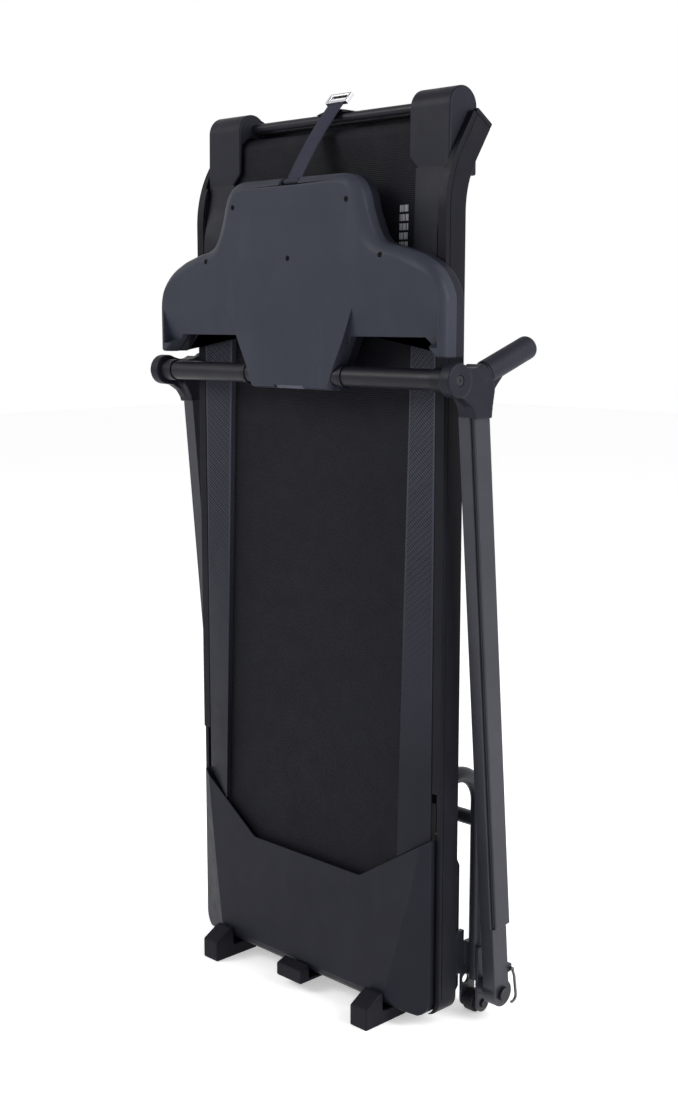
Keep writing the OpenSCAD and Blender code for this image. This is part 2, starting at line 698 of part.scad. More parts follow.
// Buttons on the display side
button_r = 12;
start_at = [-40, 1268];
stop_at = [40, 1268];
rocker_at = [120, 1268];
key_at = [0, 1226];
module at_face(p) translate([p[0], face_y, p[1]]) children();
module console_front() color(charcoal) difference() {
    union() {
        difference() {
            along_y(seam_y, face_y) outline(1.5);
            along_y(seam_y - 1, face_y - wall) intersection() {
                outline(1.5 + wall);
                translate([-console_half, hollow_z]) square([2 * console_half, 320]);
            }
        }
        // Button, rocker and key sockets
        for (p = [start_at, stop_at]) at_face(p) rotate([90, 0, 0]) cylinder(h = 14, r = 18);
        at_face(rocker_at) box([-18, -12, -22], [18, 0, 22]);
        at_face(key_at) box([-18, -14, -14], [18, 0, 14]);
    }
    translate([0, tube_y, tube_z]) rod(-200, 200, tube_r + run);
    box([-110, face_y - 2, 1304], [110, face_y + 1, 1424]);
    box([-90, face_y - 5, 1318], [90, face_y + 1, 1410]);
    for (p = [start_at, stop_at]) at_face(p) rotate([90, 0, 0]) {
        translate([0, 0, -1]) cylinder(h = 12.5, r = button_r + 0.4);
        translate([0, 0, 5.9]) cylinder(h = 4, r = button_r + 3);
    }
    at_face(rocker_at) {
        box([-14, -10, -18], [14, 1, 18]);
        translate([0, -5, 0]) rod(-16.6, 16.6, 1.5 + run);
    }
    at_face(key_at) box([-13, -12, -10], [13, 1, 10]);
}
// Round key on a flange that keeps it in its socket
module button(p) at_face(p) rotate([-90, 0, 0]) {
    translate([0, 0, -8]) cylinder(h = 9.5, r = button_r);
    translate([0, 0, -7.8]) cylinder(h = 1.5, r = button_r + 2);
}
module start_button() color("green") button(start_at);
module stop_button() color("red") button(stop_at);
module speed_rocker() color(slate) at_face(rocker_at) translate([0, -5, 0]) {
    rod(-16, 16, 1.5);
    along_x(-13.4, 13.4) polygon([[-3, -12], [5, -17], [6.5, -17], [5.5, 0], [6.5, 17], [5, 17],
        [-3, 12]]);
}
module display_lens() color("black")
    box([-109.7, face_y - 2, 1304.3], [109.7, face_y - 0.2, 1423.7]);
module console_board() color("darkgreen") {
    box([-150, -61, 1300], [150, -59, 1400]);
    box([-86, -59, 1322], [86, face_y - 5.2, 1406]);
}
module safety_key() color("red") at_face(key_at) {
    box([-12.6, -11, -9.6], [12.6, 3, 9.6]);
    box([-9, 3, -7], [9, 7, 7]);
}
module hinge_clamp() color("silver") difference() {
    intersection() {
        clamp_space(-0.1);
        along_x(-40, 40) polygon([[console_y + 1, 1118], [console_y + 8, 1109],
            [-72.2, 1109], [-72.2, 1118]]);
    }
    translate([0, tube_y, tube_z]) rod(-200, 200, tube_r + run);
}
module console_screws() color(black) for (p = screw_spots)
    translate([p[0], console_y + 3, p[1]]) rotate([-90, 0, 0]) difference() {
        union() {
            translate([0, 0, -2]) cylinder(h = 2, r = 3.7);
            cylinder(h = 5, r = 1.45);
        }
        translate([0, 0, -3]) cylinder(h = 2, r = 1.6, $fn = 6);
    }

// Strap and clasp -------------------------------------------------------------------

// The strap turns on a pin in the console and arches up to the clasp
pin_y = -83;
pin_z = 1461;
strap_r = 860;
strap_first = 31;
clasp_h = 24;
clasp_t = 4;
// Arc that brings the clasp's outer corner to the overall height
strap_arc = asin((overall_h - pin_z + strap_r * sin(strap_first)) /
    norm([strap_r + clasp_t, clasp_h])) - atan2(clasp_h, strap_r + clasp_t) - strap_first;
strap_eye = 5.8;
module strap_pin() color(steel) translate([0, pin_y, pin_z])
    rod(-slot_half - 3, slot_half + 3, 3);
// Local frame: origin on the pin, z leaves along the strap, y points behind it
module in_strap() translate([0, pin_y, pin_z]) rotate([-strap_first, 0, 0]) children();
// Place at angle a along the strap's arc
module on_arc(a) translate([0, strap_r, 0]) rotate([-a, 0, 0]) translate([0, -strap_r, 0]) children();
module strap() color(black) in_strap() difference() {
    union() {
        rod(-strap_w / 2, strap_w / 2, strap_eye);
        translate([strap_w / 2, strap_r, 0]) rotate([90, 0, -90])
            rotate_extrude(angle = strap_arc, $fn = 720)
                translate([strap_r - strap_t / 2, 0]) square([strap_t, strap_w]);
    }
    rod(-strap_w, strap_w, 3 + run);
}
// Frame around the strap's free end, with the slot that it passes through
module strap_clasp() color("silver") in_strap() on_arc(strap_arc) difference() {
    box([-26, -clasp_t, 0.2], [26, clasp_t, clasp_h]);
    box([-20, -clasp_t - 1, 6], [20, clasp_t + 1, 18]);
}

deck_frame();
deck_board();
deck_cushions();
running_belt();
front_roller();
rear_roller();
roller_bearings();
roller_axles();
tension_bolts();
roller_pulley();
motor_housing();
motor_rotor();
motor_pulley();
drive_belt();
control_board();
power_inlet();
switch_housing();
power_switch();
motor_cover();
belly_pan();
foot_rail_left();
foot_rail_right();
side_skirt_left();
side_skirt_right();
end_cap_left();
end_cap_right();
rear_foot_pads();
rear_cross_bar();
strap_anchor();
front_feet();
base_frame();
wheel_left();
wheel_right();
base_bolts();
pivot_bushes();
upright_left();
upright_right();
upright_cover_left();
upright_cover_right();
head_left();
head_right();
head_screws();
grip_left();
grip_right();
cross_tube();
tube_collars();
console_back();
console_front();
hinge_clamp();
console_screws();
display_lens();
console_board();
start_button();
stop_button();
speed_rocker();
safety_key();
strap_pin();
strap();
strap_clasp();
release_hook();
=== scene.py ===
import json
import math

import bmesh
import bpy
from mathutils import Matrix, Vector, kdtree


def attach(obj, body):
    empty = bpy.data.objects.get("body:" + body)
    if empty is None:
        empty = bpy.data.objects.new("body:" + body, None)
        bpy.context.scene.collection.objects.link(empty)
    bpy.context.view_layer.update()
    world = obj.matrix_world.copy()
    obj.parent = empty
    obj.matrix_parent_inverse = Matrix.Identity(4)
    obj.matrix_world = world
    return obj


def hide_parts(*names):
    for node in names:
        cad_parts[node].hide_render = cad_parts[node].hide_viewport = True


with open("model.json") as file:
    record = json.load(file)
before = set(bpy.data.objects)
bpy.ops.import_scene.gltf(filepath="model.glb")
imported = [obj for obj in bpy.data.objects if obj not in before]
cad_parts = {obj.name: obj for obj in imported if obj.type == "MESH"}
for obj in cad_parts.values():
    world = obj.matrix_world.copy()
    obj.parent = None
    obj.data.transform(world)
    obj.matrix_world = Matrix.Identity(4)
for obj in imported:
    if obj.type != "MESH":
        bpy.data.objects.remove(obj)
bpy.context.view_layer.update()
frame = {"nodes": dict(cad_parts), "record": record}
NODES = frame["nodes"]
RECORD = frame["record"]
BODY = {n: body for body, members in RECORD["behaviour"]["bodies"].items() for n in members}
SLOT = {part["node"]: part["material_slot"] for part in RECORD["subparts"]}
SIDES = (("right", 1), ("left", -1))
scene = bpy.context.scene


# Sizes shared by several pieces ------------------------------------------------
# In millimetres in the CAD's frame: X is the width, -Y the running side, and Z is up.

# Axis of the cross tube as (y, z), and the bore around it
TUBE = (-79, 1133)
TUBE_BORE = 17.7
# Lean of the running surface, and its depth where it would meet the floor
BELT_LEAN = math.tan(math.radians(1.72))
BELT_FACE = -55.5
# Inner and outer edges of the foot rails, from the middle of the deck
RAIL_IN, RAIL_OUT = 227.6, 293.0
# Hatched part of the treads, the pitch of its lines and their rise over a unit of width
TREAD_LOW, TREAD_HIGH = 540, 1262
HATCH, HATCH_LEAN = 5.6, 0.8


# Materials -----------------------------------------------------------------------


class Graph:
    """A material's node tree, with short calls for the nodes used here."""

    def __init__(self, name):
        self.material = bpy.data.materials.new(name)
        self.material.use_nodes = True
        self.tree = self.material.node_tree
        self.shader = self.tree.nodes["Principled BSDF"]
        self.place = self.add("ShaderNodeTexCoord").outputs["Object"]

    def add(self, kind, **values):
        node = self.tree.nodes.new(kind)
        for key, value in values.items():
            setattr(node, key, value)
        return node

    def put(self, value, socket):
        """Links an output to a socket, or sets a plain value on it."""
        if isinstance(value, bpy.types.NodeSocket):
            self.tree.links.new(value, socket)
        else:
            socket.default_value = value

    def noise(self, scale, detail=2.0, rough=0.5, stretch=(1, 1, 1)):
        place = self.place
        if stretch != (1, 1, 1):
            mapping = self.add("ShaderNodeMapping")
            mapping.inputs["Scale"].default_value = stretch
            self.put(place, mapping.inputs["Vector"])
            place = mapping.outputs["Vector"]
        node = self.add("ShaderNodeTexNoise")
        node.inputs["Scale"].default_value = scale
        node.inputs["Detail"].default_value = detail
        node.inputs["Roughness"].default_value = rough
        self.put(place, node.inputs["Vector"])
        return node.outputs["Fac"]

    def remap(self, value, low, high, to_low=0.0, to_high=1.0):
        node = self.add("ShaderNodeMapRange")
        self.put(value, node.inputs["Value"])
        node.inputs["From Min"].default_value = low
        node.inputs["From Max"].default_value = high
        node.inputs["To Min"].default_value = to_low
        node.inputs["To Max"].default_value = to_high
        return node.outputs["Result"]

    def patches(self, scale=7.0):
        """Broad soft patches from 0 to 1, for a material's two tones."""
        return self.remap(self.noise(scale, 4.0, 0.6), 0.35, 0.65)

    def uneven(self, low, high, scale=38.0):
        """A value that wanders between low and high, for the sheen."""
        return self.remap(self.noise(scale, 3.0), 0.3, 0.7, low, high)

    def math(self, operation, a, b=0.0):
        node = self.add("ShaderNodeMath", operation=operation)
        for value, socket in zip((a, b), node.inputs):
            self.put(value, socket)
        return node.outputs["Value"]

    def times(self, a, b):
        return self.math("MULTIPLY", a, b)

    def wave(self, value, pitch):
        return self.math("SINE", self.times(value, 2 * math.pi / pitch))

    def saw(self, value, rate):
        """Distance from the middle of each repeat, 0 to 0.5, at this many repeats per metre."""
        part = self.math("FRACT", self.times(value, rate))
        return self.math("ABSOLUTE", self.math("SUBTRACT", part, 0.5))

    def mix(self, factor, a, b):
        node = self.add("ShaderNodeMix", data_type="RGBA")
        self.put(factor, node.inputs["Factor"])
        self.put(a, node.inputs["A"])
        self.put(b, node.inputs["B"])
        return node.outputs["Result"]

    def bump(self, height, distance, strength=1.0, below=None):
        node = self.add("ShaderNodeBump")
        node.inputs["Distance"].default_value = distance
        node.inputs["Strength"].default_value = strength
        self.put(height, node.inputs["Height"])
        if below is not None:
            self.put(below, node.inputs["Normal"])
        return node.outputs["Normal"]

    def axis(self, index):
        node = self.add("ShaderNodeSeparateXYZ")
        self.put(self.place, node.inputs["Vector"])
        return node.outputs[index]

    def finish(self, colour, rough, normal=None, metallic=0.0, coat=0.0, specular=0.5):
        self.put(colour, self.shader.inputs["Base Color"])
        self.put(rough, self.shader.inputs["Roughness"])
        self.put(metallic, self.shader.inputs["Metallic"])
        self.put(specular, self.shader.inputs["Specular IOR Level"])
        self.put(coat, self.shader.inputs["Coat Weight"])
        self.shader.inputs["Coat Roughness"].default_value = 0.12
        if normal is not None:
            self.put(normal, self.shader.inputs["Normal"])
        return self.material


def rgba(colour):
    return (*colour, 1.0)


def surface(name, base, second, rough, grain=1400, depth=0.00006, metallic=0.0, coat=0.0,
            stretch=(1, 1, 1), specular=0.5):
    """Two tones in broad patches, faint rubbed streaks, uneven sheen, and a fine grain."""
    g = Graph(name)
    colour = g.mix(g.patches(), rgba(base), rgba(second))
    streaks = g.remap(g.noise(26.0, 5.0, 0.7, (1.0, 1.0, 0.16)), 0.56, 0.78, 0.0, 0.25)
    rubbed = [min(1.0, c * 1.5 + 0.012) for c in base]
    colour = g.mix(streaks, colour, rgba(rubbed))
    sheen = g.math("ADD", g.uneven(rough - 0.05, rough + 0.06), g.times(streaks, 0.12))
    fine = g.bump(g.noise(grain, stretch=stretch), depth)
    normal = g.bump(g.noise(60.0), 0.00012, 0.5, fine)
    return g.finish(colour, sheen, normal, metallic, coat, specular)


def belt_surface():
    """Fine cross ribs with pips, painted shade between them, and a slightly polished running track."""
    g = Graph("belt_rubber")
    x, z = g.axis(0), g.axis(2)
    pitch = 0.0032
    across, along = g.wave(x, pitch), g.wave(z, pitch)
    pips = g.remap(g.math("ADD", g.times(across, 0.4), along), -0.4, 1.0)
    colour = g.mix(g.patches(5.0), rgba((0.0036, 0.0036, 0.0057)), rgba((0.0048, 0.0049, 0.00752)))
    # Painted shade: the colour is lighter on the pips and darker in the hollows between them
    colour = g.mix(g.times(pips, 0.5), colour, rgba((0.0085, 0.0088, 0.01311)))
    track = g.remap(g.math("ABSOLUTE", x), 0.08, 0.2, 0.03, 0.0)
    rough = g.math("SUBTRACT", g.uneven(0.5, 0.6, 30.0), track)
    return g.finish(colour, rough, g.bump(pips, 0.0004, 0.8), specular=0.08)


def tread_surface():
    """The rail's plastic, darker to the foot, with hatch lines that lean inwards and fade there, and
    painted shade in their grooves.
    """
    g = Graph("rail_tread")
    x, z = g.math("ABSOLUTE", g.axis(0)), g.axis(2)
    low, high = TREAD_LOW / 1000, TREAD_HIGH / 1000
    lean = g.times(x, HATCH_LEAN)
    line = g.saw(g.math("ADD", lean, z), 1000 / HATCH)
    cross = g.saw(g.math("SUBTRACT", lean, z), 500 / HATCH)
    ridge = g.times(g.remap(line, 0.1, 0.4), g.remap(cross, 0.05, 0.2, 0.35, 1.0))
    # The hatch stops short of both edges and at its upper end, and fades out towards the foot
    lengthways = g.times(g.remap(z, low, 0.8), g.remap(z, high, high + 0.008, 1.0, 0.0))
    sideways = g.times(g.remap(x, 0.229, 0.233), g.remap(x, 0.288, 0.291, 1.0, 0.0))
    strength = g.times(lengthways, sideways)
    colour = g.mix(g.patches(), rgba((0.036, 0.0380, 0.0530)), rgba((0.043, 0.0455, 0.0630)))
    colour = g.mix(g.remap(z, high, 1.30), colour, rgba((0.0105, 0.0108, 0.0150)))
    colour = g.mix(g.remap(z, 0.45, 1.15), rgba((0.0085, 0.0087, 0.01425)), colour)
    # Painted shade darkens the grooves between the hatch ridges, which are also rougher
    shaded_groove = g.times(g.math("SUBTRACT", 1.0, ridge), strength)
    colour = g.mix(g.times(shaded_groove, 0.9), colour, rgba((0.005, 0.0053, 0.00912)))
    rough = g.math("ADD", g.uneven(0.42, 0.52), g.times(shaded_groove, 0.15))
    fine = g.bump(g.noise(1400.0), 0.00006)
    normal = g.bump(g.times(ridge, strength), 0.0005, 0.7, fine)
    return g.finish(colour, rough, normal, specular=0.12)


# The two tones, roughness and grain of each finish: the record's slots, then finer ones
LOOKS = {
    "frame_steel": dict(base=(0.0230, 0.0236, 0.0345), second=(0.0300, 0.0307, 0.0445), rough=0.36,
                        grain=700, depth=0.00005, specular=0.3),
    "deck_wood": dict(base=(0.022, 0.016, 0.012), second=(0.032, 0.023, 0.017), rough=0.7,
                      grain=500, depth=0.0001, stretch=(1, 1, 0.1), specular=0.1),
    "soft_rubber": dict(base=(0.0048, 0.0049, 0.00798), second=(0.007, 0.0072, 0.01083), rough=0.5,
                        grain=1200, depth=0.00008, specular=0.1),
    "bare_steel": dict(base=(0.1, 0.1, 0.11), second=(0.14, 0.14, 0.15), rough=0.35,
                       grain=900, depth=0.00003, metallic=1.0, stretch=(0.05, 1, 1)),
    "nylon": dict(base=(0.02, 0.02, 0.02622), second=(0.03, 0.03, 0.03876), rough=0.5,
                  specular=0.2),
    "electronics": dict(base=(0.02, 0.12, 0.057), second=(0.03, 0.17, 0.07), rough=0.4),
    "black_plastic": dict(base=(0.0045, 0.0046, 0.00741), second=(0.0065, 0.0067, 0.01026),
                          rough=0.4, specular=0.14),
    "moulded_plastic": dict(base=(0.0085, 0.0088, 0.01391), second=(0.011, 0.0113, 0.01767),
                            rough=0.42, specular=0.1),
    "console_plastic": dict(base=(0.0235, 0.0258, 0.0365), second=(0.0275, 0.0302, 0.0425),
                            rough=0.45, specular=0.1),
    "wheel_rubber": dict(base=(0.008, 0.008, 0.0114), second=(0.013, 0.013, 0.01824), rough=0.55,
                         specular=0.2),
    "grip_rubber": dict(base=(0.0118, 0.0121, 0.0185), second=(0.0150, 0.0154, 0.0232), rough=0.5,
                        grain=1800, depth=0.0001, specular=0.12),
    "lens_plastic": dict(base=(0.004, 0.004, 0.0057), second=(0.006, 0.006, 0.00912), rough=0.1,
                         grain=300, depth=0.00001, coat=0.6),
    "button_green": dict(base=(0.02, 0.22, 0.07), second=(0.03, 0.28, 0.09), rough=0.3),
    "button_red": dict(base=(0.38, 0.02, 0.02), second=(0.46, 0.03, 0.03), rough=0.3),
    "webbing": dict(base=(0.019, 0.0195, 0.03306), second=(0.025, 0.0257, 0.04218), rough=0.65,
                    grain=1500, depth=0.0002, specular=0.12),
    "clasp_metal": dict(base=(0.78, 0.78, 0.8), second=(0.9, 0.9, 0.92), rough=0.14,
                        grain=400, depth=0.00002, metallic=1.0),
    "skirt_plastic": dict(base=(0.0040, 0.0041, 0.0070), second=(0.0056, 0.0058, 0.0093),
                          rough=0.4, specular=0.09),
    "upright_paint": dict(base=(0.0165, 0.0170, 0.0240), second=(0.0215, 0.0220, 0.0310),
                          rough=0.36, grain=700, depth=0.00005, specular=0.3),
    "dark_tube": dict(base=(0.0065, 0.0065, 0.01026), second=(0.009, 0.009, 0.01368), rough=0.36,
                      grain=700, depth=0.00005, specular=0.16),
    # Black screws, darkened further as painted shade for the holes they sit in
    "black_screw_and_hole_shade": dict(base=(0.0015, 0.0015, 0.002), second=(0.0025, 0.0025, 0.003), rough=0.5,
                        specular=0.06),
    "clamp_plate": dict(base=(0.04, 0.042, 0.06156), second=(0.048, 0.05, 0.07296), rough=0.4,
                        specular=0.2),
    "blackened_steel": dict(base=(0.014, 0.014, 0.01824), second=(0.022, 0.022, 0.0285),
                            rough=0.34, grain=900, depth=0.00003, metallic=0.6),
    "belt_print": dict(base=(0.3, 0.31, 0.33), second=(0.4, 0.41, 0.43), rough=0.6),
}
MATERIALS = {name: surface(name, **look) for name, look in LOOKS.items()}
MATERIALS["belt_rubber"] = belt_surface()
MATERIALS["rail_tread"] = tread_surface()
# Nodes that look different from the rest of their slot
FINER = {
    "rail_tread": ["foot_rail_left", "foot_rail_right"],
    "skirt_plastic": ["side_skirt_left", "side_skirt_right"],
    "upright_paint": ["upright_left", "upright_right", "upright_cover_left", "upright_cover_right"],
    "dark_tube": ["cross_tube", "deck_frame", "rear_cross_bar"],
    "black_screw_and_hole_shade": ["console_screws"],
    "blackened_steel": ["head_screws", "base_bolts"],
    "clamp_plate": ["hinge_clamp"],
}
FINISH = {node: MATERIALS[slot] for node, slot in SLOT.items()}
FINISH.update({node: MATERIALS[name] for name, nodes in FINER.items() for node in nodes})


# Pieces and their edges --------------------------------------------------------------

# Points closer than this, in metres, are one
WELD = 2e-6


def evaluated(obj):
    """The object's mesh with its modifiers applied, as a new mesh."""
    graph = bpy.context.evaluated_depsgraph_get()
    mesh = bpy.data.meshes.new_from_object(obj.evaluated_get(graph))
    obj.modifiers.clear()
    return mesh


def mesh_of(bm, name):
    """A new mesh from an edited one, which is freed."""
    mesh = bpy.data.meshes.new(name)
    bm.to_mesh(mesh)
    bm.free()
    return mesh


def piece(name, mesh, node, material=None, replaces=True):
    """Adds a mesh as a visual piece that rides with a CAD node's body and takes its finish."""
    obj = bpy.data.objects.new(name, mesh)
    scene.collection.objects.link(obj)
    obj.data.materials.clear()
    obj.data.materials.append(material or FINISH[node])
    if replaces:
        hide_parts(node)
    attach(obj, BODY[node])
    return obj


def weigh_edges(bm, width, angle):
    """Sets each sharp edge's bevel weight so that close edges get narrower bevels."""
    layer = bm.edges.layers.float.new("bevel_weight_edge")
    sharp = [e for e in bm.edges if len(e.link_faces) == 2 and e.calc_face_angle(0.0) > angle]
    reach = width * 2.4
    spots = []
    for index, edge in enumerate(sharp):
        a, b = (v.co for v in edge.verts)
        count = max(1, min(40, int((b - a).length / (width * 1.5))))
        spots += [(a.lerp(b, (i + 0.5) / count), index) for i in range(count)]
    tree = kdtree.KDTree(len(spots))
    for i, (place, _) in enumerate(spots):
        tree.insert(place, i)
    tree.balance()
    room = [reach] * len(sharp)
    for place, index in spots:
        ends = sharp[index].verts
        along = (ends[1].co - ends[0].co).normalized()
        for other, i, distance in tree.find_range(place, reach):
            if spots[i][1] == index or distance < 1e-7:
                continue
            beside = abs((other - place).normalized().dot(along)) < 0.6
            if beside and not set(sharp[spots[i][1]].verts) & set(ends):
                room[index] = min(room[index], distance)
    for edge, space in zip(sharp, room):
        edge[layer] = max(0.04, min(1.0, space / 2.4 / width))


def bevelled(obj, width, segments):
    """Rounds the weighted edges; width is in millimetres."""
    bevel = obj.modifiers.new("bevel", "BEVEL")
    bevel.width = width / 1000
    bevel.segments = segments
    bevel.limit_method = "WEIGHT"
    bevel.use_clamp_overlap = False
    obj.data = evaluated(obj)


def shade(obj, angle=38):
    """Smooth shading between faces that meet below this angle, with the large faces kept flat."""
    obj.data.polygons.foreach_set("use_smooth", [True] * len(obj.data.polygons))
    obj.data.set_sharp_from_angle(angle=math.radians(angle))
    normals = obj.modifiers.new("normals", "WEIGHTED_NORMAL")
    normals.keep_sharp = True
    normals.weight = 80
    obj.data = evaluated(obj)


def eased(obj, width, segments, angle):
    """Rounds the object's edges that are sharper than the angle, and shades it."""
    bm = bmesh.new()
    bm.from_mesh(obj.data)
    bmesh.ops.remove_doubles(bm, verts=bm.verts, dist=WELD)
    weigh_edges(bm, width / 1000, math.radians(angle))
    bm.to_mesh(obj.data)
    bm.free()
    bevelled(obj, width, segments)
    shade(obj)


def softened(node, width, angle=28, flat=0.3, sharp=38):
    """A CAD node's shape with rounded edges, and faces within the flat angle made one."""
    bm = bmesh.new()
    bm.from_mesh(NODES[node].data)
    bmesh.ops.remove_doubles(bm, verts=bm.verts, dist=WELD)
    if flat:
        bmesh.ops.dissolve_limit(bm, angle_limit=math.radians(flat), verts=bm.verts, edges=bm.edges)
    bmesh.ops.recalc_face_normals(bm, faces=bm.faces)
    weigh_edges(bm, width / 1000, math.radians(angle))
    name = node + "_shell"
    obj = piece(name, mesh_of(bm, name), node)
    bevelled(obj, width, 3)
    shade(obj, sharp)
    return obj


# Shapes, from points in millimetres ----------------------------------------------------


def mm(*values):
    """Millimetres to a vector in metres."""
    return Vector(values) / 1000


def solid(name, verts, faces):
    """A closed mesh with outward faces."""
    bm = bmesh.new()
    made = [bm.verts.new(mm(*v)) for v in verts]
    for face in faces:
        bm.faces.new([made[i] for i in face])
    bmesh.ops.recalc_face_normals(bm, faces=bm.faces)
    return mesh_of(bm, name)


def loft(name, rings):
    """Matched closed rings of points joined into one closed solid."""
    count = len(rings[0])
    verts = [p for ring in rings for p in ring]
    faces = [
        (k * count + i, k * count + (i + 1) % count,
         (k + 1) * count + (i + 1) % count, (k + 1) * count + i)
        for k in range(len(rings) - 1) for i in range(count)
    ]
    faces += [tuple(range(count)), tuple((len(rings) - 1) * count + i for i in range(count))]
    return solid(name, verts, faces)


def sweep(start, end, steps):
    """Angles from start to end degrees in equal steps, in radians."""
    return [math.radians(start + (end - start) * k / steps) for k in range(steps + 1)]


def circle(radius, sides):
    """Points (x, y) around a circle."""
    turns = [2 * math.pi * i / sides for i in range(sides)]
    return [(radius * math.cos(a), radius * math.sin(a)) for a in turns]


def curved(points, steps=5):
    """A closed outline of (x, z, corner radius) with its corners rounded."""
    out = []
    for i, (x, z, radius) in enumerate(points):
        here = Vector((x, z))
        before = Vector(points[i - 1][:2]) - here
        after = Vector(points[(i + 1) % len(points)][:2]) - here
        a = here + before.normalized() * min(radius, 0.48 * before.length)
        b = here + after.normalized() * min(radius, 0.48 * after.length)
        for k in range(steps + 1):
            t = k / steps
            out.append(a * (1 - t) ** 2 + here * 2 * t * (1 - t) + b * t * t)
    return out


def mirrored(half):
    """A full outline from its right half, which runs from the top to the bottom."""
    return half + [(-x, z, r) for x, z, r in reversed(half)]


def box_mesh(low, high):
    """A box between two corners."""
    xs, ys, zs = zip(low, high)
    verts = [(x, y, z) for x in xs for y in ys for z in zs]
    faces = [(0, 1, 3, 2), (4, 6, 7, 5), (0, 4, 5, 1), (2, 3, 7, 6), (0, 2, 6, 4), (1, 5, 7, 3)]
    return solid("box", verts, faces)


def rod_mesh(start, end, radius, sides=48):
    """A cylinder between two points."""
    start, end = Vector(start), Vector(end)
    turn = (end - start).to_track_quat("Z", "Y").to_matrix()
    ring = [turn @ Vector((x, y, 0)) for x, y in circle(radius, sides)]
    return loft("rod", [[tuple(centre + p) for p in ring] for centre in (start, end)])


def prism_mesh(points, x0, x1):
    """A (y, z) polygon extruded along X."""
    return loft("prism", [[(x, y, z) for y, z in points] for x in (x0, x1)])


def joined(meshes):
    """One mesh from several."""
    bm = bmesh.new()
    for mesh in meshes:
        bm.from_mesh(mesh)
    return mesh_of(bm, "joined")


def flipped(mesh):
    """The mirror image in X."""
    out = mesh.copy()
    out.transform(Matrix.Scale(-1, 4, (1, 0, 0)))
    out.flip_normals()
    return out


def handed(mesh, side):
    """A right-hand mesh as it is for the right side, or mirrored for the left."""
    return mesh if side > 0 else flipped(mesh)


def carved(obj, cutters):
    """Cuts the cutters out of the object."""
    tool = bpy.data.objects.new("tool", joined(cutters))
    scene.collection.objects.link(tool)
    cut = obj.modifiers.new("cut", "BOOLEAN")
    cut.object = tool
    cut.solver = "EXACT"
    cut.use_self = True
    obj.data = evaluated(obj)
    bpy.data.objects.remove(tool)


def extended(obj, extra):
    """Adds meshes to a piece, which keeps its material."""
    material = obj.data.materials[0]
    obj.data = joined([obj.data, *extra])
    obj.data.materials.append(material)


# Console -------------------------------------------------------------------------------

# Right half outlines of the outer face and of the shell behind its rounded rim
FACE = [
    (118, 1451, 8), (140, 1446, 10), (150, 1431, 8), (156, 1410, 8), (162, 1388, 10),
    (172, 1364, 10), (188, 1343, 12), (210, 1331, 14), (242, 1330, 14), (288, 1312, 10),
    (328, 1296, 14), (347, 1278, 16), (351, 1254, 10), (351, 1172, 3), (343, 1172, 2),
    (310, 1202, 2), (139, 1202, 2), (110, 1146, 8), (96, 1113, 4),
]
SHELL = [
    (126, 1468, 10), (146, 1464, 12), (162, 1452, 12), (172, 1436, 10), (179, 1409, 10),
    (190, 1382, 10), (203, 1358, 12), (224, 1349, 14), (248, 1345, 14), (290, 1333, 10),
    (324, 1317, 14), (347, 1295, 16), (360, 1266, 10), (360, 1168, 3), (341, 1168, 2),
    (308, 1200, 2), (138, 1200, 2), (112, 1144, 8), (100, 1108, 4),
]
# Depths of the outer face, of the seam between the shells, and of the display side
CONSOLE_Y, SEAM_Y, FACE_Y = -98, -66, -46
SEAM_GAP = 0.6
# Depth of the outer face's rounded rim, and its slope in degrees where it leaves the face
RIM, CREASE = 15, 32
# The display side is inset at the seam, and its edge is rounded
INSET, EDGE_ROUND = 1.5, 4
SCREWS = [(-143, 1424), (143, 1424), (-220, 1332), (220, 1332), (0, 1332)]
SCREW_HOLE = 4.7
# Slant above the two windows: its top, its lean in degrees, and its section in X and Z
SLANT_TOP, SLANT_LEAN = 1247, 18
SLANT = [(157, 0), (346, 0), (346, -60), (131, -60)]
# Middle (x, z), half size in X and Z, and depth of the display's, rocker's and key's recesses
RECESSES = [((0, 1364), (110, 60), 2), ((120, 1268), (14, 18), 10), ((0, 1226), (13, 10), 12)]
BUTTON_X, BUTTON_Z, BUTTON_HOLE = 40, 1268, 12.4


def outline_ring(t, y, shrink=0.0):
    """The outline that is a part t of the way from the face to the shell, at depth y."""
    inner, outer = curved(mirrored(FACE)), curved(mirrored(SHELL))
    ring = [a.lerp(b, t) for a, b in zip(inner, outer)]
    if shrink:
        centre = Vector((0, 1300))
        ring = [p - (p - centre).normalized() * shrink for p in ring]
    return [(p.x, y, p.y) for p in ring]


def tube_bore():
    return rod_mesh((-200, *TUBE), (200, *TUBE), TUBE_BORE)


def window_slant(side):
    section = [[(side * x, y, z) for x, z in SLANT] for y in (-40, 0)]
    slant = loft("slant", section)
    lean = Matrix.Rotation(math.radians(SLANT_LEAN), 4, "X")
    slant.transform(Matrix.Translation(mm(0, CONSOLE_Y, SLANT_TOP)) @ lean)
    return slant


def recess(middle, half, depth):
    """A box that opens on the display side."""
    (x, z), (across, up) = middle, half
    return box_mesh((x - across, FACE_Y - depth, z - up), (x + across, FACE_Y + 5, z + up))


